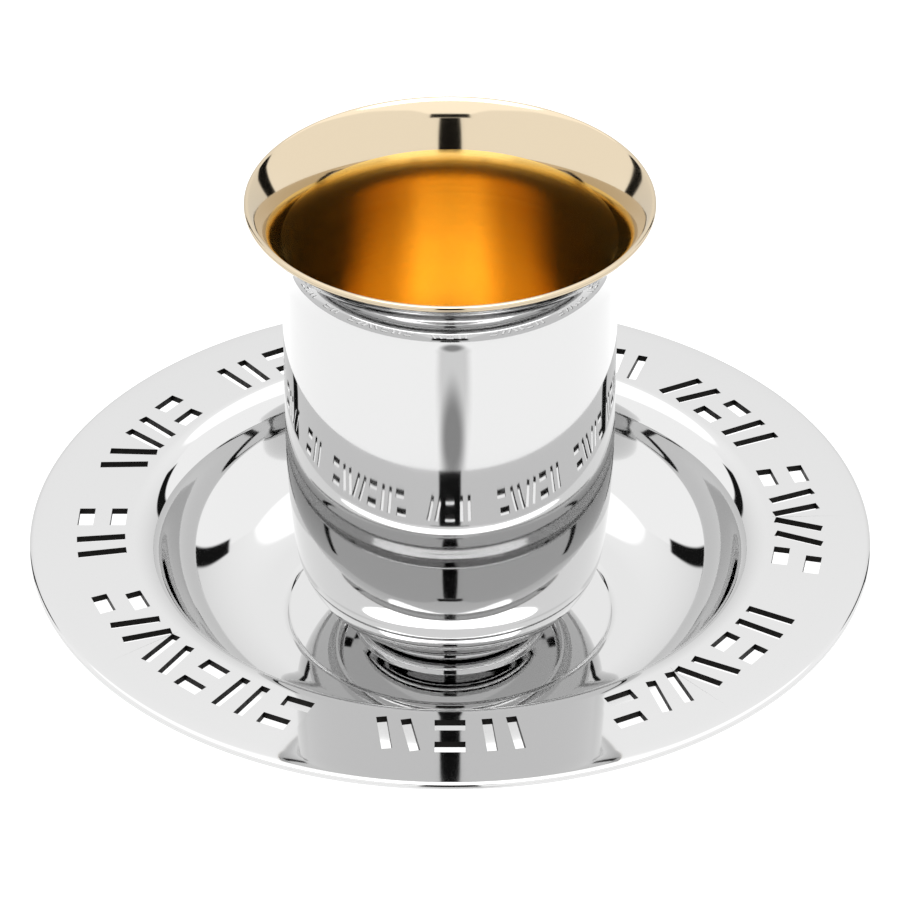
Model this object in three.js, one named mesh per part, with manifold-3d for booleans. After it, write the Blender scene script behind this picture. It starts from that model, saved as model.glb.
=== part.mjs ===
// A plain flared kiddush cup that stands in the recessed seat of its pierced saucer.
// Millimetres, +Z up, the origin on the table under the common axis. The front of the pair is -Y.
import * as THREE from "three";
import { mergeVertices } from "three/addons/utils/BufferGeometryUtils.js";
import Module from "manifold-3d";

// Saucer
const SAUCER_RADIUS = 75;
const SAUCER_SHEET = 1.2;
const SEAT_RADIUS = 28.6; // flat recess that holds the cup
const SEAT_DEPTH = 0.6; // recess below the floor of the well
const STEP_BEND = 1.5; // bend radius at both edges of the recess
const WELL_FLOOR_RADIUS = 33.6; // where the floor starts to turn up
const WELL_HEIGHT = 18.4; // centre of the sheet at the outer edge, above the table
const WELL_ANGLE = 72; // steepest slope of the well's wall, degrees
const WELL_BEND = 19; // concave bend at the foot of the wall
const RIM_BEND = 5; // convex roll from the wall to the rim
const RIM_FALL = 1.5; // slope of the rim's inner part, degrees
const CROWN_BEND = 60; // slow curve of the rim's outer part
const CROWN_TURN = 2.5; // turn of that curve, degrees
const HEM_BEND = 0.7; // bend of the middle line where the edge is turned down
const HEM_TURN = 30; // degrees
const SAUCER_SIDES = 62;

// Cup
const CUP_HEIGHT = 85.8;
const CUP_SHEET = 1.1;
const CUP_GAP = 0.3; // clearance between the foot and the seat
const BODY_RADIUS = 29; // outside of the straight wall
const MOUTH_RADIUS = 35.25; // outside of the lip
const FLARE_HEIGHT = 12.5; // from the straight wall to the lip
const FOOT_RADIUS = 17.4; // outside of the folded foot ring
const FOOT_FOLD = 0.65; // bend of the middle line round the bottom of the foot
const FOOT_NECK = 0.7; // bend where the belly leaves the foot, and inside the ring
const FOOT_LEAN = 70; // slope of the foot's inner side, degrees
const FOOT_SIDE = 0.9; // straight length of that side
const BELLY_LIFT = 17.85; // centre of the belly's curve above the foot
const BELLY_BEND = 17.3; // outer radius of the rounded lower body
const WAIST_BEND = 195; // outer radius of the slow taper above it
const WAIST_ANGLE = 7; // turn of the slow taper, degrees
const CUP_SIDES = 38;

// Pierced marks in the rim: words of straight strokes, none of which joins another
const WORDS = [
  { azimuth: 0, marks: 3 },
  { azimuth: 45, marks: 5 },
  { azimuth: 92, marks: 4 },
  { azimuth: 126, marks: 3 },
  { azimuth: 160, marks: 4 },
  { azimuth: 206, marks: 4 },
  { azimuth: 242, marks: 3 },
  { azimuth: 272, marks: 2 },
  { azimuth: 313, marks: 6 },
];
const MARK_PITCH = 8.2; // degrees from one mark to the next
const ROW_RADIUS = 62.2; // middle of the band of marks
const ROW_DEPTH = 8.6; // radial length of a full stroke
const STROKE = 1.8; // width of a radial stroke
const BAR = 2.8; // width of a bar laid round the rim
const BAR_LENGTH = 5.2;
const BAR_SHIFT = 0.7; // sideways shift of a staggered pair of bars, degrees
const LEAN = 17; // slant of a leaning pair, degrees

const rad = THREE.MathUtils.degToRad;

// The middle line of a bent sheet in the (radius, height) plane, drawn like a strip under a press:
// each run goes straight on, and each bend turns it, up when the angle is positive.
class Sheet {
  constructor(radius, height, headingDeg = 0) {
    this.at = { r: radius, z: height, heading: rad(headingDeg) };
    this.points = [{ ...this.at }];
  }

  get last() {
    return this.points[this.points.length - 1];
  }

  run(length) {
    const { r, z, heading } = this.last;
    const end = { r: r + length * Math.cos(heading), z: z + length * Math.sin(heading), heading };
    this.points.push(end);
    return this;
  }

  bend(radius, angleDeg, steps) {
    const start = this.last;
    const turn = Math.sign(angleDeg);
    const centre = {
      r: start.r - turn * radius * Math.sin(start.heading),
      z: start.z + turn * radius * Math.cos(start.heading),
    };
    for (let i = 1; i <= steps; i++) {
      const heading = start.heading + (rad(angleDeg) * i) / steps;
      this.points.push({
        r: centre.r + turn * radius * Math.sin(heading),
        z: centre.z - turn * radius * Math.cos(heading),
        heading,
      });
    }
    return this;
  }

  // The strip's face at a distance to the left of the line, which is its upper or inner side.
  face(distance) {
    return this.points.map(
      ({ r, z, heading }) =>
        new THREE.Vector2(r - distance * Math.sin(heading), z + distance * Math.cos(heading)),
    );
  }

  // The closed section of the sheet, with a rounded free edge: along the lower face and back on the upper.
  section(thickness, edgeSteps) {
    const { r, z, heading } = this.last;
    const edge = [];
    for (let i = 1; i < edgeSteps; i++) {
      const a = heading - Math.PI / 2 + (Math.PI * i) / edgeSteps;
      edge.push(new THREE.Vector2(r + (thickness / 2) * Math.cos(a), z + (thickness / 2) * Math.sin(a)));
    }
    const under = this.face(-thickness / 2);
    const over = this.face(thickness / 2).reverse();
    return [...under, ...edge, ...over];
  }
}

// A solid of revolution about +Z from a section that starts and ends on the axis.
function turned(section, sides) {
  for (const end of [section[0], section[section.length - 1]]) end.x = 0;
  const geometry = new THREE.LatheGeometry(section, sides);
  return geometry.rotateX(Math.PI / 2);
}

function named(name, geometry, material) {
  const mesh = new THREE.Mesh(geometry, material);
  mesh.name = name;
  return mesh;
}

function saucerSection() {
  const half = SAUCER_SHEET / 2;
  const stepAngle = THREE.MathUtils.radToDeg(Math.acos(1 - SEAT_DEPTH / (2 * STEP_BEND)));
  const line = new Sheet(0, half)
    .run(SEAT_RADIUS)
    .bend(STEP_BEND, stepAngle, 1)
    .bend(STEP_BEND, -stepAngle, 1);
  line.run(WELL_FLOOR_RADIUS - line.last.r).bend(WELL_BEND, WELL_ANGLE, 4);

  // How far a bend that turns down takes the line outward and down.
  const outward = (radius, from, to) => radius * (Math.sin(rad(to)) - Math.sin(rad(from)));
  const down = (radius, from, to) => radius * (Math.cos(rad(from)) - Math.cos(rad(to)));
  const crown = RIM_FALL + CROWN_TURN;
  const hem = crown + HEM_TURN;
  const edgeRun = outward(CROWN_BEND, RIM_FALL, crown) + outward(HEM_BEND, crown, hem);
  const edgeDrop = down(CROWN_BEND, RIM_FALL, crown) + down(HEM_BEND, crown, hem);

  // The straight part of the wall is as long as the rest of the line needs to end at the right height.
  const roll = RIM_BEND * (Math.cos(rad(RIM_FALL)) - Math.cos(rad(WELL_ANGLE)));
  const rollRun = RIM_BEND * (Math.sin(rad(WELL_ANGLE)) + Math.sin(rad(RIM_FALL)));
  const edgeRadius = SAUCER_RADIUS - half - edgeRun;
  const slope = Math.tan(rad(WELL_ANGLE));
  const fall = Math.tan(rad(RIM_FALL));
  const rimIfNoWall = edgeRadius - line.last.r - rollRun;
  const climb = WELL_HEIGHT + edgeDrop - line.last.z - roll;
  const wallRun = (climb + fall * rimIfNoWall) / (slope + fall);
  line.run(wallRun / Math.cos(rad(WELL_ANGLE))).bend(RIM_BEND, -(WELL_ANGLE + RIM_FALL), 3);
  line.run((edgeRadius - line.last.r) / Math.cos(rad(RIM_FALL)));
  line.bend(CROWN_BEND, -CROWN_TURN, 2).bend(HEM_BEND, -HEM_TURN, 2);
  return line.section(SAUCER_SHEET, 2);
}

function cupSection() {
  const half = CUP_SHEET / 2;
  const table = SAUCER_SHEET + CUP_GAP;
  const lip = table + CUP_HEIGHT - half;
  const belly = BELLY_BEND - half;
  const waist = WAIST_BEND - half;
  const wall = BODY_RADIUS - half;
  const bellyEnd = rad(90 - WAIST_ANGLE);

  // The belly is an arc round a centre that follows from the wall and the slow taper above it.
  const centre = {
    r: wall - waist * (1 - Math.cos(rad(WAIST_ANGLE))) - belly * Math.cos(rad(WAIST_ANGLE)),
    z: table + BELLY_LIFT,
  };
  const neckAngle = Math.asin((FOOT_RADIUS - half + FOOT_NECK / 2 - centre.r) / belly);
  const neck = {
    r: centre.r + belly * Math.sin(neckAngle) - FOOT_NECK * (1 - Math.sin(neckAngle)),
    z: centre.z - belly * Math.cos(neckAngle) - FOOT_NECK * Math.cos(neckAngle),
  };

  // The base is drawn down into the fold of the foot: down its inner side, round the bottom and up.
  const lean = rad(FOOT_LEAN);
  const drop = FOOT_SIDE * Math.sin(lean) + (FOOT_NECK + FOOT_FOLD) * (1 - Math.cos(lean));
  const inner = FOOT_SIDE * Math.cos(lean) + (FOOT_NECK + FOOT_FOLD) * Math.sin(lean) + FOOT_FOLD;
  const line = new Sheet(0, table + half + drop).run(neck.r - inner);
  line.bend(FOOT_NECK, -FOOT_LEAN, 1).run(FOOT_SIDE).bend(FOOT_FOLD, FOOT_LEAN + 90, 4);
  line.run(neck.z - line.last.z);
  line.bend(FOOT_NECK, THREE.MathUtils.radToDeg(neckAngle) - 90, 2);
  line.bend(belly, THREE.MathUtils.radToDeg(bellyEnd - neckAngle), 4).bend(waist, WAIST_ANGLE, 2);

  // The flare is one arc from the straight wall out to the lip.
  const out = MOUTH_RADIUS - half - wall;
  const flareAngle = 2 * Math.atan2(out, FLARE_HEIGHT);
  const flareBend = FLARE_HEIGHT / Math.sin(flareAngle);
  line.run(lip - FLARE_HEIGHT - line.last.z);
  line.bend(flareBend, -THREE.MathUtils.radToDeg(flareAngle), 5);
  return line.section(CUP_SHEET, 4);
}

// One straight stroke through the rim, in the front of the saucer (-Y) before it is turned to its place.
// along and across are its sizes round the rim and along the radius.
function stroke(azimuth, along, across, outward = 0, lean = 0) {
  const height = 7 * SAUCER_SHEET;
  return new THREE.BoxGeometry(along, across, height)
    .rotateZ(rad(lean))
    .translate(0, -(ROW_RADIUS + outward), WELL_HEIGHT)
    .rotateZ(rad(azimuth));
}

// Each mark is a pair of parallel strokes, and the kinds of pair follow one another in a fixed round of five.
function mark(index, azimuth) {
  const aside = MARK_PITCH / 4;
  const apart = (ROW_DEPTH - BAR) / 2;
  const upright = (lean) => [
    stroke(azimuth - aside, STROKE, ROW_DEPTH, 0, lean),
    stroke(azimuth + aside, STROKE, ROW_DEPTH, 0, lean),
  ];
  const stacked = (shift) => [
    stroke(azimuth - shift, BAR_LENGTH, BAR, apart),
    stroke(azimuth + shift, BAR_LENGTH, BAR, -apart),
  ];
  const kinds = [
    () => upright(LEAN),
    () => stacked(0),
    () => upright(0),
    () => stacked(BAR_SHIFT),
    () => upright(-LEAN),
  ];
  return kinds[index % kinds.length]();
}

function allStrokes() {
  const strokes = [];
  let index = 0;
  for (const { azimuth, marks } of WORDS) {
    for (let i = 0; i < marks; i++) {
      strokes.push(...mark(index, azimuth + (i - (marks - 1) / 2) * MARK_PITCH));
      index += 1;
    }
  }
  return strokes;
}

const wasm = await Module();
wasm.setup();

// A closed three.js geometry as a manifold-3d solid, and back.
function solid(geometry) {
  const bare = geometry.clone();
  bare.deleteAttribute("normal");
  bare.deleteAttribute("uv");
  const merged = mergeVertices(bare, 1e-4);
  return new wasm.Manifold(
    new wasm.Mesh({
      numProp: 3,
      vertProperties: merged.attributes.position.array,
      triVerts: new Uint32Array(merged.index.array),
    }),
  );
}

function geometryOf(manifold) {
  const mesh = manifold.getMesh();
  const geometry = new THREE.BufferGeometry();
  geometry.setAttribute("position", new THREE.BufferAttribute(mesh.vertProperties, 3));
  geometry.setIndex(new THREE.BufferAttribute(mesh.triVerts, 1));
  geometry.computeVertexNormals();
  return geometry;
}

function saucer() {
  const plate = solid(turned(saucerSection(), SAUCER_SIDES));
  const cut = allStrokes().map(solid);
  return geometryOf(cut.reduce((left, hole) => left.subtract(hole), plate));
}

const steel = new THREE.MeshStandardMaterial({ color: 0xd8d9db, roughness: 0.05, metalness: 1 });
const gold = new THREE.MeshStandardMaterial({ color: 0xe0b878, roughness: 0.12, metalness: 1 });
const plain = new THREE.Group();
plain.add(named("saucer", saucer(), steel));
plain.add(named("cup", turned(cupSection(), CUP_SIDES), gold));

export default plain;
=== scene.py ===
"""A plain flared kiddush cup, gilded inside, that stands in the seat of its pierced saucer.

The pair is spun sheet metal, so each piece is the outline of a bent sheet turned about the common axis.
Everything is in metres, +Z up, with the origin on the table under the axis and the front at -Y.
"""
import math

import bmesh
import bpy
from mathutils import Matrix, Vector


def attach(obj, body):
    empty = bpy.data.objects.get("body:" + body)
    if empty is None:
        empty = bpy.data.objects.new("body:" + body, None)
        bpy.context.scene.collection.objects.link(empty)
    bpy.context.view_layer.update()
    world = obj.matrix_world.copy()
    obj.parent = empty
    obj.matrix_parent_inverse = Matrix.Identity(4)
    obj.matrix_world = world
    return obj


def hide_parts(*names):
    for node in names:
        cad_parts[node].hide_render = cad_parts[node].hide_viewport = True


bl_info = {
    "name": "Kiddush cup and saucer",
    "version": (1, 0, 0),
    "blender": (4, 5, 0),
    "location": "3D View > Sidebar > Kiddush cup",
    "description": "Builds a flared, gilded metal wine cup standing in its pierced saucer",
    "category": "Object",
}

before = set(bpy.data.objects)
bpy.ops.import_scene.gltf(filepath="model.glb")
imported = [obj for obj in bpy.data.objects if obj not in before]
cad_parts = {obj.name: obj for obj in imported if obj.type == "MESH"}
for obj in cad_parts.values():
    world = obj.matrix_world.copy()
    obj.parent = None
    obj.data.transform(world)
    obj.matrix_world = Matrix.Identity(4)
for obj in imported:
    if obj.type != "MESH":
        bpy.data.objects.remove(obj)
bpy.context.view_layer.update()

MM = 0.001
FRONT = Vector((0, -1, 0))
FINEST_STEP = 0.05 * MM
LONGEST_STEP = 1.2 * MM
EDGE_STEP = math.radians(15)
SHARP_EDGE = math.radians(35)
CUTTER_HEIGHT = 8 * MM
FLOOR_REACH = 15

# The words of the pierced rim: (degrees round from the front, number of marks). The marks are plain strokes.
WORDS = ((0, 3), (45, 5), (92, 4), (126, 3), (160, 4), (206, 4), (242, 3), (272, 2), (313, 6))


# ---------------------------------------------------------------- sizes and colours that a user may change

def length(name, description, millimetres):
    return bpy.props.FloatProperty(
        name=name, description=description, default=millimetres * MM, precision=5,
        subtype="DISTANCE", unit="LENGTH",
    )


def angle(name, description, degrees):
    return bpy.props.FloatProperty(
        name=name, description=description, default=math.radians(degrees), subtype="ANGLE", unit="ROTATION",
    )


def number(name, description, value, **limits):
    return bpy.props.FloatProperty(name=name, description=description, default=value, **limits)


def linear(hex_code):
    """An sRGB hex colour as linear red, green, blue and alpha."""
    parts = [int(hex_code[i : i + 2], 16) / 255 for i in (1, 3, 5)]
    return [p / 12.92 if p <= 0.04045 else ((p + 0.055) / 1.055) ** 2.4 for p in parts] + [1.0]


def colour(name, description, hex_code):
    return bpy.props.FloatVectorProperty(
        name=name, description=description, default=linear(hex_code), size=4, min=0, max=1, subtype="COLOR",
    )


class SaucerSizes(bpy.types.PropertyGroup):
    radius: length("Radius", "Outside of the rim", 75)
    sheet: length("Sheet", "Thickness of the metal", 1.2)
    seat_radius: length("Seat radius", "Flat recess that holds the cup", 28.6)
    seat_depth: length("Seat depth", "Depth of the recess below the floor of the well", 0.6)
    step_bend: length("Step bend", "Bend at both edges of the recess", 1.5)
    floor_radius: length("Floor radius", "Where the floor of the well starts to turn up", 33.6)
    height: length("Height", "Middle of the sheet at the outer edge, above the table", 18.4)
    wall_angle: angle("Wall angle", "Steepest slope of the well's wall", 72)
    well_bend: length("Well bend", "Hollow bend at the foot of the wall", 19)
    rim_bend: length("Rim bend", "Roll from the wall to the rim", 5)
    rim_fall: angle("Rim fall", "Slope of the rim's inner part", 1.5)
    crown_bend: length("Crown bend", "Slow curve of the rim's outer part", 60)
    crown_turn: angle("Crown turn", "Turn of that curve", 2.5)
    hem_bend: length("Hem bend", "Bend of the middle line where the edge is turned down", 0.7)
    hem_turn: angle("Hem turn", "Turn of the edge", 30)
    sides: bpy.props.IntProperty(name="Sides", description="Steps of the turned surface", default=288, min=24)


class StrokeSizes(bpy.types.PropertyGroup):
    pitch: angle("Pitch", "Turn from one mark to the next", 8.2)
    row_radius: length("Row radius", "Middle of the band of marks", 62.2)
    row_depth: length("Row depth", "Length of a full stroke along the radius", 8.6)
    width: length("Width", "Width of a stroke along the radius", 1.8)
    bar_width: length("Bar width", "Width of a bar laid round the rim", 2.8)
    bar_length: length("Bar length", "Length of a bar laid round the rim", 5.2)
    bar_shift: angle("Bar shift", "Sideways shift of a staggered pair of bars", 0.7)
    lean: angle("Lean", "Slant of a leaning pair", 17)


class CupSizes(bpy.types.PropertyGroup):
    height: length("Height", "From the foot to the lip", 85.8)
    sheet: length("Sheet", "Thickness of the metal", 1.1)
    gap: length("Gap", "Clearance between the foot and the seat", 0.3)
    body_radius: length("Body radius", "Outside of the straight wall", 29)
    mouth_radius: length("Mouth radius", "Outside of the lip", 35.25)
    flare_height: length("Flare height", "From the straight wall to the lip", 12.5)
    lip_depth: length("Lip depth", "Height of the polished band inside the lip", 7)
    foot_radius: length("Foot radius", "Outside of the folded foot ring", 17.4)
    foot_fold: length("Foot fold", "Bend of the middle line round the bottom of the foot", 0.65)
    foot_neck: length("Foot neck", "Bend where the belly leaves the foot", 0.7)
    foot_lean: angle("Foot lean", "Slope of the foot's inner side", 70)
    foot_side: length("Foot side", "Straight length of the foot's inner side", 0.9)
    belly_lift: length("Belly lift", "Centre of the belly's curve above the foot", 17.85)
    belly_bend: length("Belly bend", "Outer radius of the rounded lower body", 17.3)
    waist_bend: length("Waist bend", "Outer radius of the slow taper above the belly", 195)
    waist_angle: angle("Waist angle", "Turn of the slow taper", 7)
    sides: bpy.props.IntProperty(name="Sides", description="Steps of the turned surface", default=240, min=24)


class Finishes(bpy.types.PropertyGroup):
    steel: colour("Steel", "Polished stainless steel", "#CBCBCB")
    # The cut edge tint is painted shade: the stroke walls are dark because they lie in shadow.
    shaded_cut_edge: colour("Shaded cut edge", "Walls of the pierced strokes, darkened by painted shade", "#1C1B1A")
    bright_gold: colour("Bright gold", "Polished plating on the lip", "#C8B9A0")
    brushed_gold: colour("Brushed gold", "Brushed plating inside the cup", "#EDCF86")


class Studio(bpy.types.PropertyGroup):
    lens: number("Lens", "Focal length in mm", 191.09, min=10)
    camera_back: length("Camera back", "Camera in front of the axis", 700)
    camera_up: length("Camera up", "Camera above the saucer's edge", 488.95)
    target_up: length("Target up", "Point looked at, above the saucer's edge", 17.03)
    panel_light: number("Panels", "Brightness of the side panels", 1.42)
    top_light: number("Top", "Brightness of the ceiling", 1.75)
    overhead_light: number("Overhead", "Brightness of the lamp straight above", 5.0)
    overhead_wide: number("Overhead width", "Half that lamp's width, as the sine of its angle", 0.42)
    overhead_deep: number("Overhead depth", "Half that lamp's depth, as the sine of its angle", 0.24)
    back_light: number("Back", "Brightness of the back wall", 1.35)
    floor_light: number("Floor", "Brightness of the lit floor", 1.05)
    far_light: number("Far floor", "Share of that light far away", 0.5)
    patch_light: number("Patch", "Brightness of the shade in front", 0.38)
    pale_light: number("Pale patch", "Brightness round that shade", 1.0)


# ---------------------------------------------------------------- making of turned sheet metal

class Outline:
    """The edge of bent sheet metal in the X-Z plane. Runs go straight on, and bends turn it, up if positive.

    Each stretch of it is turned about Z as soon as it is drawn, with the finish of that stretch."""

    def __init__(self, mesh, x, z, sides):
        self.mesh = mesh
        self.sides = sides
        self.heading = 0.0
        self.begin(Vector((x, 0, z)))

    def begin(self, place):
        self.drawn = set(self.mesh.edges)
        self.tip = self.mesh.verts.new(place)

    def run(self, distance):
        if abs(distance) < 1e-7:
            return self
        ahead = Vector((math.cos(self.heading), 0, math.sin(self.heading)))
        self.tip = bmesh.ops.extrude_vert_indiv(self.mesh, verts=[self.tip])["verts"][0]
        bmesh.ops.translate(self.mesh, verts=[self.tip], vec=ahead * distance)
        return self

    def bend(self, radius, turn, finest=math.radians(3)):
        if abs(turn) < 1e-6:
            return self
        left = Vector((-math.sin(self.heading), 0, math.cos(self.heading)))
        steps = max(abs(turn) / finest, abs(turn) * radius / LONGEST_STEP)
        steps = min(math.ceil(steps), math.ceil(abs(turn) * radius / FINEST_STEP))
        made = bmesh.ops.spin(
            self.mesh, geom=[self.tip], cent=self.tip.co + left * math.copysign(radius, turn),
            axis=(0, -1, 0), angle=turn, steps=max(3, steps),
        )
        self.tip = next(v for v in made["geom_last"] if isinstance(v, bmesh.types.BMVert))
        self.heading += turn
        return self

    def follow(self, moves):
        for kind, *sizes in moves:
            getattr(self, kind)(*sizes)
        return self

    def turn(self, finish):
        edges = [edge for edge in self.mesh.edges if edge not in self.drawn]
        corners = list({v for edge in edges for v in edge.verts})
        place = self.tip.co.copy()
        for corner in corners:
            if abs(corner.co.x) < FINEST_STEP / 4:
                corner.co.x = 0
        faces = set(self.mesh.faces)
        bmesh.ops.spin(
            self.mesh, geom=corners + edges, cent=(0, 0, 0), axis=(0, 0, 1), angle=math.tau,
            steps=self.sides, use_merge=True,
        )
        for face in self.mesh.faces:
            if face not in faces:
                face.material_index = finish
        self.begin(place)
        return self


def beside(moves, distance):
    """The moves of a line that keeps to the right of another at a distance."""
    return [
        (kind, sizes[0] + math.copysign(distance, sizes[1]), sizes[1]) if kind == "bend" else (kind, *sizes)
        for kind, *sizes in moves
    ]


def backwards(moves):
    """The same line drawn from its other end."""
    return [
        (kind, sizes[0], -sizes[1]) if kind == "bend" else (kind, *sizes) for kind, *sizes in reversed(moves)
    ]


def middle_end(moves, x, z, heading=0.0):
    """Where a line of moves ends: x, z and heading."""
    for kind, size, *turn in moves:
        if kind == "run":
            x += size * math.cos(heading)
            z += size * math.sin(heading)
        else:
            side = math.copysign(size, turn[0])
            x += side * (math.sin(heading + turn[0]) - math.sin(heading))
            z += side * (math.cos(heading) - math.cos(heading + turn[0]))
            heading += turn[0]
    return x, z, heading


def close_mesh(mesh):
    """Joins the turned stretches, turns the faces outwards and stops on an open edge."""
    bmesh.ops.remove_doubles(mesh, verts=mesh.verts, dist=FINEST_STEP / 10)
    bmesh.ops.delete(mesh, geom=[v for v in mesh.verts if not v.link_faces], context="VERTS")
    bmesh.ops.recalc_face_normals(mesh, faces=mesh.faces)
    for face in mesh.faces:
        face.smooth = True
    open_edges = [edge for edge in mesh.edges if not edge.is_manifold]
    if open_edges:
        raise RuntimeError(f"a turned piece has {len(open_edges)} open edges, at {open_edges[0].verts[0].co}")


def new_piece(name, mesh, materials):
    data = bpy.data.meshes.new(name)
    mesh.to_mesh(data)
    mesh.free()
    for material in materials:
        data.materials.append(material)
    piece = bpy.data.objects.new(name, data)
    bpy.context.scene.collection.objects.link(piece)
    return piece


# ---------------------------------------------------------------- the saucer

def saucer_moves(s):
    """The middle line of the saucer's sheet, from the axis to the edge."""
    step = math.acos(1 - s.seat_depth / (2 * s.step_bend))
    moves = [("run", s.seat_radius), ("bend", s.step_bend, step), ("bend", s.step_bend, -step)]
    x, _, _ = middle_end(moves, 0, s.sheet / 2)
    moves += [("run", s.floor_radius - x), ("bend", s.well_bend, s.wall_angle)]
    x, z, _ = middle_end(moves, 0, s.sheet / 2)

    # The turned-down edge, outward and down from where the rim starts to curve.
    rim = [("bend", s.crown_bend, -s.crown_turn), ("bend", s.hem_bend, -s.hem_turn)]
    edge_x, edge_z, _ = middle_end(rim, 0, 0, -s.rim_fall)

    # The straight part of the wall is as long as the rest of the line needs to end at the right height.
    roll = s.rim_bend * (math.cos(s.rim_fall) - math.cos(s.wall_angle))
    roll_run = s.rim_bend * (math.sin(s.wall_angle) + math.sin(s.rim_fall))
    slope, fall = math.tan(s.wall_angle), math.tan(s.rim_fall)
    edge = s.radius - s.sheet / 2 - edge_x
    across = (s.height - edge_z - z - roll + fall * (edge - x - roll_run)) / (slope + fall)
    moves += [("run", across / math.cos(s.wall_angle)), ("bend", s.rim_bend, -(s.wall_angle + s.rim_fall))]
    x, _, _ = middle_end(moves, 0, s.sheet / 2)
    return moves + [("run", (edge - x) / math.cos(s.rim_fall))] + rim


def stroke(mesh, s, rim, azimuth, along, across, outward=0.0, lean=0.0):
    """One straight stroke right through the rim, turned to its place."""
    place = (
        Matrix.Rotation(azimuth, 4, "Z")
        @ Matrix.Translation(FRONT * (s.row_radius + outward) + Vector((0, 0, rim)))
        @ Matrix.Rotation(lean, 4, "Z")
        @ Matrix.Diagonal((along, across, CUTTER_HEIGHT, 1))
    )
    bmesh.ops.create_cube(mesh, size=1, matrix=place)


def mark(mesh, s, rim, index, azimuth):
    """A pair of parallel strokes; the kinds of pair follow one another in a fixed round of five."""
    aside = s.pitch / 4
    apart = (s.row_depth - s.bar_width) / 2
    kind = index % 5
    if kind in (1, 3):
        shift = s.bar_shift if kind == 3 else 0.0
        stroke(mesh, s, rim, azimuth - shift, s.bar_length, s.bar_width, apart)
        stroke(mesh, s, rim, azimuth + shift, s.bar_length, s.bar_width, -apart)
        return
    lean = {0: s.lean, 2: 0.0, 4: -s.lean}[kind]
    stroke(mesh, s, rim, azimuth - aside, s.width, s.row_depth, 0.0, lean)
    stroke(mesh, s, rim, azimuth + aside, s.width, s.row_depth, 0.0, lean)


def strokes_mesh(s, rim):
    mesh = bmesh.new()
    index = 0
    for azimuth, marks in WORDS:
        for i in range(marks):
            mark(mesh, s, rim, index, math.radians(azimuth) + (i - (marks - 1) / 2) * s.pitch)
            index += 1
    return mesh


def cut(piece, cutter_mesh):
    """Cuts the strokes out of a piece, gives the cut walls its second finish, which darkens them with painted
    shade, and keeps their edges sharp.
    """
    for face in cutter_mesh.faces:
        face.material_index = 1
    cutter = new_piece("cutter", cutter_mesh, piece.data.materials)
    boolean = piece.modifiers.new("cut", "BOOLEAN")
    boolean.operation = "DIFFERENCE"
    boolean.solver = "MANIFOLD"
    boolean.object = cutter
    graph = bpy.context.evaluated_depsgraph_get()
    cut_data = bpy.data.meshes.new_from_object(piece.evaluated_get(graph))
    piece.modifiers.remove(boolean)
    old, piece.data = piece.data, cut_data
    cut_data.name = old.name
    bpy.data.meshes.remove(old)
    bpy.data.objects.remove(cutter)
    mesh = bmesh.new()
    mesh.from_mesh(piece.data)
    bmesh.ops.remove_doubles(mesh, verts=mesh.verts, dist=1e-7)
    for edge in mesh.edges:
        edge.smooth = len(edge.link_faces) == 2 and edge.calc_face_angle(0) < SHARP_EDGE
    for face in mesh.faces:
        face.smooth = True
    mesh.to_mesh(piece.data)
    mesh.free()


# ---------------------------------------------------------------- the cup

def cup_moves(c, table):
    """The middle line of the cup's sheet from the axis to the lip, in three parts, and where it starts."""
    half = c.sheet / 2
    belly, waist, wall = c.belly_bend - half, c.waist_bend - half, c.body_radius - half

    # The belly is an arc round a centre that follows from the wall and the slow taper above it.
    centre_x = wall - waist * (1 - math.cos(c.waist_angle)) - belly * math.cos(c.waist_angle)
    centre_z = table + c.belly_lift
    neck = math.asin((c.foot_radius - half + c.foot_neck / 2 - centre_x) / belly)
    neck_x = centre_x + belly * math.sin(neck) - c.foot_neck * (1 - math.sin(neck))
    neck_z = centre_z - belly * math.cos(neck) - c.foot_neck * math.cos(neck)

    # The base is drawn down into the fold of the foot: down its inner side, round the bottom and up.
    both = c.foot_neck + c.foot_fold
    drop = c.foot_side * math.sin(c.foot_lean) + both * (1 - math.cos(c.foot_lean))
    inner = c.foot_side * math.cos(c.foot_lean) + both * math.sin(c.foot_lean) + c.foot_fold
    start = table + half + drop
    quarter = math.pi / 2
    foot = [
        ("run", neck_x - inner), ("bend", c.foot_neck, -c.foot_lean), ("run", c.foot_side),
        ("bend", c.foot_fold, c.foot_lean + quarter),
    ]
    foot.append(("run", neck_z - middle_end(foot, 0, start)[1]))
    foot.append(("bend", c.foot_neck, neck - quarter))
    body = [("bend", belly, quarter - c.waist_angle - neck), ("bend", waist, c.waist_angle)]

    # The flare is one arc from the straight wall out to the lip.
    out = c.mouth_radius - half - wall
    flare = 2 * math.atan2(out, c.flare_height)
    flare_bend = c.flare_height / math.sin(flare)
    lip = table + c.height - half
    _, z, _ = middle_end(foot + body, 0, start)
    body.append(("run", lip - c.flare_height - z))

    # The last part of the flare is polished: its turn follows from the depth of the bright band.
    bright = flare - math.asin(min(1.0, (c.flare_height - c.lip_depth) / flare_bend))
    mouth = [("bend", flare_bend, -(flare - bright)), ("bend", flare_bend, -bright)]
    return foot + body, mouth, start


# ---------------------------------------------------------------- finishes

def add_node(tree, kind, inputs=None, **settings):
    """Adds a node with its settings; an input is a value or the socket that feeds it."""
    made = tree.nodes.new(kind)
    for name, value in settings.items():
        setattr(made, name, value)
    for key, value in (inputs or {}).items():
        if isinstance(value, bpy.types.NodeSocket):
            tree.links.new(value, made.inputs[key])
        else:
            made.inputs[key].default_value = value
    return made


def new_material(name):
    material = bpy.data.materials.new(name)
    material.use_nodes = True
    tree = material.node_tree
    tree.nodes.clear()
    return material, tree


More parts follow.
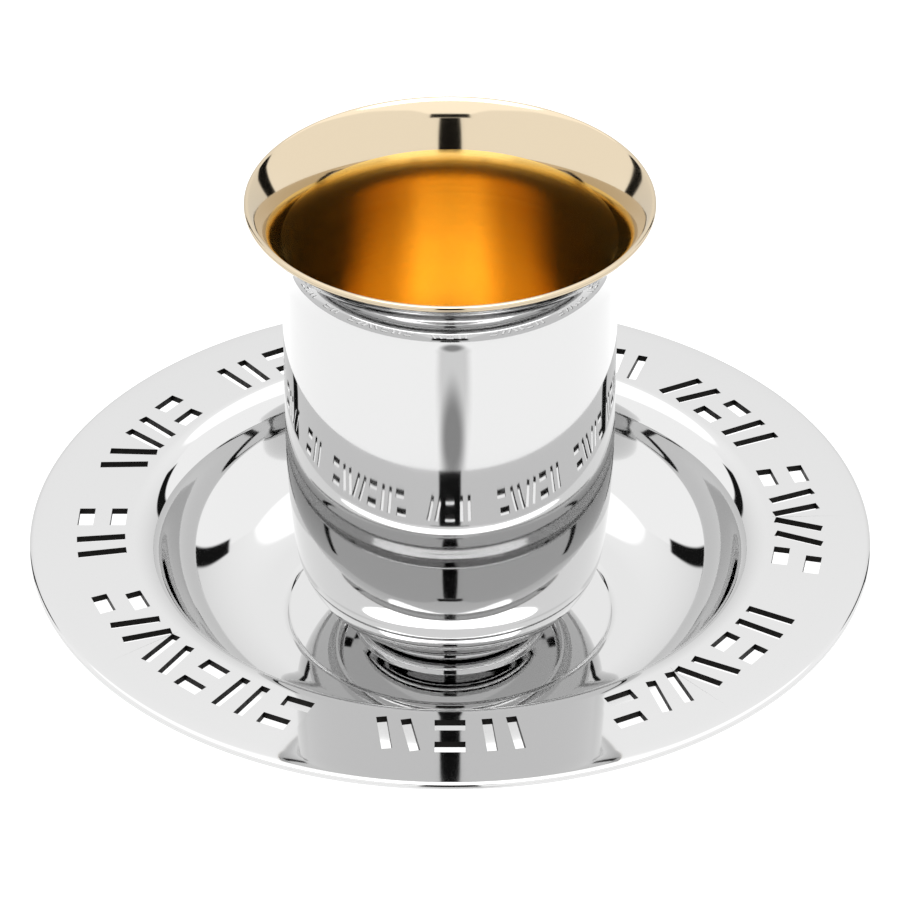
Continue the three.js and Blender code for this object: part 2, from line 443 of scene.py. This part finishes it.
def polished_steel(tint):
    """Stainless steel spun to shape and mirror-polished on a mop: sharp reflections, a trace of haze from the
    mop's paste, and a very slow waviness left by spinning."""
    material, tree = new_material("Mirror-polished stainless steel")
    place = add_node(tree, "ShaderNodeTexCoord").outputs["Object"]
    # Haze in soft patches about 12 mm across, as handling and polish leave it.
    haze = add_node(tree, "ShaderNodeTexNoise", {"Vector": place, "Scale": 1 / (12 * MM), "Detail": 3.0})
    rough = add_node(
        tree, "ShaderNodeMapRange",
        {"Value": haze.outputs["Fac"], "From Min": 0.3, "From Max": 0.7, "To Min": 0.025, "To Max": 0.055},
    )
    # Waviness of a few micrometres over about 25 mm.
    wave = add_node(tree, "ShaderNodeTexNoise", {"Vector": place, "Scale": 1 / (25 * MM), "Detail": 1.0})
    bump = add_node(
        tree, "ShaderNodeBump", {"Height": wave.outputs["Fac"], "Strength": 1.0, "Distance": 0.010 * MM},
    )
    shader = add_node(
        tree, "ShaderNodeBsdfPrincipled",
        {"Base Color": tint, "Metallic": 1.0, "Roughness": rough.outputs["Result"],
         "Normal": bump.outputs["Normal"]},
    )
    add_node(tree, "ShaderNodeOutputMaterial", {"Surface": shader.outputs["BSDF"]})
    return material


def shaded_cut_steel(tint):
    """Stainless steel as the cutting torch leaves it in a pierced stroke: dull and finely ribbed, and
    darkened with painted shade, as the walls of the stroke lie in shadow.
    """
    material, tree = new_material("Torch-cut stainless steel with painted shade")
    place = add_node(tree, "ShaderNodeTexCoord").outputs["Object"]
    # Ribs stand about 0.3 mm apart along the cut, so they stretch along the height.
    squeeze = add_node(tree, "ShaderNodeMapping", {"Vector": place, "Scale": (1, 1, 0.1)})
    ribs = add_node(
        tree, "ShaderNodeTexNoise",
        {"Vector": squeeze.outputs["Vector"], "Scale": 1 / (0.6 * MM), "Detail": 2.0},
    )
    rough = add_node(
        tree, "ShaderNodeMapRange",
        {"Value": ribs.outputs["Fac"], "From Min": 0.3, "From Max": 0.7, "To Min": 0.4, "To Max": 0.65},
    )
    bump = add_node(
        tree, "ShaderNodeBump", {"Height": ribs.outputs["Fac"], "Strength": 1.0, "Distance": 0.03 * MM},
    )
    # The tint is painted shade: it darkens the stroke walls as if they lay in shadow.
    shader = add_node(
        tree, "ShaderNodeBsdfPrincipled",
        {"Base Color": tint, "Metallic": 1.0, "Roughness": rough.outputs["Result"],
         "Normal": bump.outputs["Normal"]},
    )
    add_node(tree, "ShaderNodeOutputMaterial", {"Surface": shader.outputs["BSDF"]})
    return material


def polished_gold(tint):
    """Gold plating over polished steel: a pale, clear gold mirror."""
    material, tree = new_material("Polished gold plating")
    place = add_node(tree, "ShaderNodeTexCoord").outputs["Object"]
    haze = add_node(tree, "ShaderNodeTexNoise", {"Vector": place, "Scale": 1 / (9 * MM), "Detail": 3.0})
    rough = add_node(
        tree, "ShaderNodeMapRange",
        {"Value": haze.outputs["Fac"], "From Min": 0.3, "From Max": 0.7, "To Min": 0.05, "To Max": 0.09},
    )
    shader = add_node(
        tree, "ShaderNodeBsdfPrincipled",
        {"Base Color": tint, "Metallic": 1.0, "Roughness": rough.outputs["Result"]},
    )
    add_node(tree, "ShaderNodeOutputMaterial", {"Surface": shader.outputs["BSDF"]})
    return material


def brushed_gold(tint):
    """Gold plating over steel brushed on the lathe: fine rings round the axis, which spread each highlight
    along the height of the cup."""
    material, tree = new_material("Brushed gold plating")
    place = add_node(tree, "ShaderNodeTexCoord").outputs["Object"]
    parts = add_node(tree, "ShaderNodeSeparateXYZ", {"Vector": place})
    flat = add_node(tree, "ShaderNodeCombineXYZ", {"X": parts.outputs["X"], "Y": parts.outputs["Y"]})
    radius = add_node(tree, "ShaderNodeVectorMath", {0: flat.outputs["Vector"]}, operation="LENGTH")
    rings = add_node(
        tree, "ShaderNodeCombineXYZ", {"X": radius.outputs["Value"], "Y": parts.outputs["Z"]},
    )
    # Rings 0.05 mm apart are too fine to show, so they are drawn about 0.4 mm apart.
    lines = add_node(
        tree, "ShaderNodeTexNoise",
        {"Vector": rings.outputs["Vector"], "Scale": 1 / (0.8 * MM), "Detail": 4.0, "Roughness": 0.7},
    )
    rough = add_node(
        tree, "ShaderNodeMapRange",
        {"Value": lines.outputs["Fac"], "From Min": 0.3, "From Max": 0.7, "To Min": 0.13, "To Max": 0.19},
    )
    bump = add_node(
        tree, "ShaderNodeBump", {"Height": lines.outputs["Fac"], "Strength": 1.0, "Distance": 0.012 * MM},
    )
    shader = add_node(
        tree, "ShaderNodeBsdfPrincipled",
        {"Base Color": tint, "Metallic": 1.0, "Roughness": rough.outputs["Result"], "Anisotropic": 0.7,
         "Anisotropic Rotation": 0.25, "Normal": bump.outputs["Normal"]},
    )
    add_node(tree, "ShaderNodeOutputMaterial", {"Surface": shader.outputs["BSDF"]})
    return material


# ---------------------------------------------------------------- the studio

# The light tent, in degrees round from the front and above the horizon.
SLOT_SIDE = 7.5
SLOT_TOP = 51.0
BAR_SIDE = 15.0
BAR_TOP = 56.0
GAP_START = 131.0
GAP_END = 139.0
GAP_TOP = 34.0
BACK_START = 135.0
BACK_TOP = 45.0

# The panels' upper edge is highest between INNER_END and OUTER_START. It falls by INNER_FALL over
# INNER_REACH towards the front, and by OUTER_FALL over OUTER_REACH towards the back.
PANEL_TOP = 61.0
INNER_END = 40.0
INNER_REACH = 30.0
INNER_FALL = 9.0
OUTER_START = 50.0
OUTER_REACH = 80.0
OUTER_FALL = 14.0

# The back wall is dimmer at the horizon and has its full light at this height.
BACK_DIM = 0.75
BACK_FULL = 40.0

# Brightness of the dark parts, and of the room where the camera sees it.
DARK_LIGHT = 0.01
ROOM_LIGHT = 1.3

# The patch of shade on the table: its place and size, and its two ovals in mm, each given by its middle,
# its half widths and the share of it that is solid.
PATCH_PLACE = (3 * MM, -133 * MM, 0.2 * MM)
PATCH_SIZE = (90 * MM, 100 * MM)
PALE_OVAL = (5, -135, 28, 40, 0.55)
GREY_OVAL = (3, -112, 19, 22, 0.35)


def studio_world(s):
    """A light tent: two tall side panels with a narrow slot between them in front, darker gaps behind them,
    a pale back wall, a bright ceiling and an oval lamp straight above. Angles are degrees round from the
    front and above the horizon."""
    world = bpy.data.worlds.new("studio")
    bpy.context.scene.world = world
    world.use_nodes = True
    tree = world.node_tree
    tree.nodes.clear()

    def math_node(operation, a, b=0.0, c=0.0):
        return add_node(tree, "ShaderNodeMath", {0: a, 1: b, 2: c}, operation=operation).outputs["Value"]

    def over(value, limit, soft=0.8):
        """1 above a limit and 0 below it, with a soft edge."""
        gap = math_node("SUBTRACT", value, limit)
        return add_node(
            tree, "ShaderNodeMapRange", {"Value": gap, "From Min": -soft, "From Max": soft},
            interpolation_type="SMOOTHSTEP",
        ).outputs["Result"]

    def both(a, b):
        return math_node("MULTIPLY", a, b)

    def no(a):
        return math_node("SUBTRACT", 1.0, a)

    def choose(factor, off, on):
        return math_node("ADD", both(no(factor), off), both(factor, on))

    look = add_node(tree, "ShaderNodeTexCoord").outputs["Generated"]
    parts = add_node(tree, "ShaderNodeSeparateXYZ", {"Vector": look})
    up = math_node("MULTIPLY", math_node("ARCSINE", parts.outputs["Z"]), math.degrees(1))
    back = math_node("MULTIPLY", parts.outputs["Y"], -1.0)
    round_deg = math_node("MULTIPLY", math_node("ARCTAN2", parts.outputs["X"], back), math.degrees(1))
    aside = math_node("ABSOLUTE", round_deg)

    def upper_edge(distance, reach, fall):
        """The panels' upper edge, which falls away from its highest as a parabola."""
        share = math_node("POWER", math_node("DIVIDE", distance, reach), 2.0)
        return math_node("SUBTRACT", PANEL_TOP, both(share, fall))

    outer_top = upper_edge(math_node("SUBTRACT", aside, OUTER_START), OUTER_REACH, OUTER_FALL)
    inward = math_node("MAXIMUM", math_node("SUBTRACT", INNER_END, aside), 0.0)
    inner_top = upper_edge(inward, INNER_REACH, INNER_FALL)
    top = choose(over(aside, INNER_END, soft=5.0), inner_top, outer_top)
    sides = choose(over(up, top), s.panel_light, s.top_light)
    shade = math_node("MULTIPLY_ADD", up, (1.0 - BACK_DIM) / BACK_FULL, BACK_DIM)
    wall = choose(over(up, BACK_TOP), both(shade, s.back_light), s.top_light)
    light = choose(over(aside, BACK_START, soft=0.2), sides, wall)

    # The oval lamp straight above.
    lamp_x = math_node("DIVIDE", parts.outputs["X"], s.overhead_wide)
    lamp_y = math_node("DIVIDE", parts.outputs["Y"], s.overhead_deep)
    away = math_node("ADD", both(lamp_x, lamp_x), both(lamp_y, lamp_y))
    lamp = both(no(over(away, 1.0, soft=0.06)), over(up, 0.0))
    light = choose(lamp, light, s.overhead_light)

    # The gaps behind the panels, the slot in front and the bar across its top.
    gap = both(both(over(aside, GAP_START), no(over(aside, GAP_END))), no(over(up, GAP_TOP)))
    slot = both(no(over(aside, SLOT_SIDE)), no(over(up, SLOT_TOP)))
    bar = both(no(over(aside, BAR_SIDE)), both(over(up, SLOT_TOP), no(over(up, BAR_TOP))))
    dark = math_node("MAXIMUM", gap, math_node("MAXIMUM", slot, bar))
    light = choose(dark, light, DARK_LIGHT)

    # Seen directly, the room is plain and pale.
    direct = add_node(tree, "ShaderNodeLightPath").outputs["Is Camera Ray"]
    light = choose(direct, light, ROOM_LIGHT)
    shader = add_node(tree, "ShaderNodeBackground", {"Color": (1, 1, 1, 1), "Strength": light})
    add_node(tree, "ShaderNodeOutputWorld", {"Surface": shader.outputs["Background"]})


def studio_floor(s):
    """A matt white table lit from below, as a light table is, so that no shadow greys it. It dims far from
    the pair, which gives the polished walls an edge when they are seen from low down."""
    mesh = bmesh.new()
    bmesh.ops.create_grid(mesh, x_segments=1, y_segments=1, size=FLOOR_REACH)
    material, tree = new_material("White light table")
    place = add_node(tree, "ShaderNodeTexCoord").outputs["Object"]
    radius = add_node(tree, "ShaderNodeVectorMath", {0: place}, operation="LENGTH")
    light = add_node(
        tree, "ShaderNodeMapRange",
        {"Value": radius.outputs["Value"], "From Min": 200 * MM, "From Max": 450 * MM,
         "To Min": s.floor_light, "To Max": s.floor_light * s.far_light},
        interpolation_type="SMOOTHSTEP",
    )
    shader = add_node(
        tree, "ShaderNodeBsdfPrincipled",
        {"Base Color": linear("#808080"), "Roughness": 1.0, "Specular IOR Level": 0.0,
         "Emission Color": (1, 1, 1, 1), "Emission Strength": light.outputs["Result"]},
    )
    add_node(tree, "ShaderNodeOutputMaterial", {"Surface": shader.outputs["BSDF"]})
    floor = new_piece("floor", mesh, [material])


def studio_flag(s):
    """A soft grey patch laid on the table in front, which the polished metal shows as the shade between the
    side panels. The camera doesn't see it."""
    mesh = bmesh.new()
    bmesh.ops.create_grid(mesh, x_segments=1, y_segments=1, size=0.5)
    matrix = Matrix.Translation(PATCH_PLACE) @ Matrix.Diagonal((*PATCH_SIZE, 1, 1))
    bmesh.ops.transform(mesh, verts=mesh.verts, matrix=matrix)
    material, tree = new_material("Soft grey patch")
    place = add_node(tree, "ShaderNodeTexCoord").outputs["Object"]

    def spot(x, y, across, along, solid):
        """An oval of shade in mm: 1 within its solid part and fading to 0 at its edge."""
        inner = add_node(
            tree, "ShaderNodeMapping",
            {"Vector": place, "Location": (-x / across, -y / along, 0),
             "Scale": (1 / (across * MM), 1 / (along * MM), 0)},
        )
        away = add_node(tree, "ShaderNodeVectorMath", {0: inner.outputs["Vector"]}, operation="LENGTH")
        return add_node(
            tree, "ShaderNodeMapRange",
            {"Value": away.outputs["Value"], "From Min": solid, "From Max": 1.0,
             "To Min": 1.0, "To Max": 0.0},
            interpolation_type="SMOOTHSTEP",
        ).outputs["Result"]

    clear = add_node(tree, "ShaderNodeBsdfTransparent")
    pale = add_node(tree, "ShaderNodeEmission", {"Color": (1, 1, 1, 1), "Strength": s.pale_light})
    grey = add_node(tree, "ShaderNodeEmission", {"Color": (1, 1, 1, 1), "Strength": s.patch_light})
    outer = add_node(
        tree, "ShaderNodeMixShader",
        {0: spot(*PALE_OVAL), 1: clear.outputs["BSDF"], 2: pale.outputs["Emission"]},
    )
    mix = add_node(
        tree, "ShaderNodeMixShader",
        {0: spot(*GREY_OVAL), 1: outer.outputs["Shader"], 2: grey.outputs["Emission"]},
    )
    add_node(tree, "ShaderNodeOutputMaterial", {"Surface": mix.outputs["Shader"]})
    flag = new_piece("front_flag", mesh, [material])
    flag.visible_camera = False
    flag.visible_shadow = False
    flag.visible_diffuse = False


def studio_camera(s, edge):
    data = bpy.data.cameras.new("camera")
    data.sensor_width = 36
    data.lens = s.lens
    data.clip_start = 0.01
    data.clip_end = 100
    camera = bpy.data.objects.new("camera", data)
    bpy.context.scene.collection.objects.link(camera)
    camera.location = (0, -s.camera_back, edge + s.camera_up)
    sight = Vector((0, 0, edge + s.target_up)) - camera.location
    camera.rotation_euler = sight.to_track_quat("-Z", "Y").to_euler()
    bpy.context.scene.camera = camera


# ---------------------------------------------------------------- operators

class KIDDUSH_OT_saucer(bpy.types.Operator):
    """Spins the saucer and pierces its rim"""

    bl_idname = "kiddush.saucer"
    bl_label = "Make saucer"

    def execute(self, context):
        s, finish = context.scene.kiddush_saucer, context.scene.kiddush_finish
        half = s.sheet / 2
        moves = saucer_moves(s)
        mesh = bmesh.new()
        outline = Outline(mesh, 0, 0, s.sides)
        outline.follow(beside(moves, half)).bend(half, math.pi, EDGE_STEP)
        outline.follow(beside(backwards(moves), half)).turn(0)
        close_mesh(mesh)
        # The saucer's second finish darkens the stroke walls with painted shade.
        piece = new_piece("pierced_saucer", mesh, [polished_steel(finish.steel), shaded_cut_steel(finish.shaded_cut_edge)])
        cut(piece, strokes_mesh(context.scene.kiddush_strokes, s.height))
        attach(piece, "root")
        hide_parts("saucer")
        return {"FINISHED"}


class KIDDUSH_OT_cup(bpy.types.Operator):
    """Spins the cup, with its folded foot, and gilds its inside"""

    bl_idname = "kiddush.cup"
    bl_label = "Make cup"

    def execute(self, context):
        c, finish = context.scene.kiddush_cup, context.scene.kiddush_finish
        half = c.sheet / 2
        table = context.scene.kiddush_saucer.sheet + c.gap
        body, mouth, start = cup_moves(c, table)
        mesh = bmesh.new()
        outline = Outline(mesh, 0, start - half, c.sides)
        outline.follow(beside(body + mouth, half)).turn(0)
        outline.bend(half, math.pi, EDGE_STEP)
        outline.follow(beside(backwards(mouth[1:]), half)).turn(1)
        outline.follow(beside(backwards(body + mouth[:1]), half)).turn(2)
        close_mesh(mesh)
        materials = [
            polished_steel(finish.steel),
            polished_gold(finish.bright_gold),
            brushed_gold(finish.brushed_gold),
        ]
        piece = new_piece("flared_cup", mesh, materials)
        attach(piece, "root")
        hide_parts("cup")
        return {"FINISHED"}


class KIDDUSH_OT_stage(bpy.types.Operator):
    """Sets up the floor, the light and the camera"""

    bl_idname = "kiddush.stage"
    bl_label = "Make stage"

    def execute(self, context):
        s = context.scene.kiddush_studio
        studio_world(s)
        studio_floor(s)
        studio_flag(s)
        studio_camera(s, context.scene.kiddush_saucer.height)
        context.scene.view_settings.view_transform = "Standard"
        context.scene.view_settings.look = "None"
        return {"FINISHED"}


class KIDDUSH_PT_panel(bpy.types.Panel):
    """The steps of the cup and saucer"""

    bl_label = "Kiddush cup"
    bl_idname = "KIDDUSH_PT_panel"
    bl_space_type = "VIEW_3D"
    bl_region_type = "UI"
    bl_category = "Kiddush cup"

    def draw(self, context):
        for operator in (KIDDUSH_OT_stage, KIDDUSH_OT_saucer, KIDDUSH_OT_cup):
            self.layout.operator(operator.bl_idname)
        for key, group in GROUPS.items():
            box = self.layout.box()
            for name in group.__annotations__:
                box.prop(getattr(context.scene, key), name)


GROUPS = {
    "kiddush_saucer": SaucerSizes,
    "kiddush_strokes": StrokeSizes,
    "kiddush_cup": CupSizes,
    "kiddush_finish": Finishes,
    "kiddush_studio": Studio,
}
CLASSES = (*GROUPS.values(), KIDDUSH_OT_stage, KIDDUSH_OT_saucer, KIDDUSH_OT_cup, KIDDUSH_PT_panel)


def register():
    for cls in CLASSES:
        bpy.utils.register_class(cls)
    for key, group in GROUPS.items():
        setattr(bpy.types.Scene, key, bpy.props.PointerProperty(type=group))


def unregister():
    for key in GROUPS:
        delattr(bpy.types.Scene, key)
    for cls in reversed(CLASSES):
        bpy.utils.unregister_class(cls)


def main():
    register()
    bpy.ops.kiddush.stage()
    bpy.ops.kiddush.saucer()
    bpy.ops.kiddush.cup()


if __name__ == "__main__":
    main()
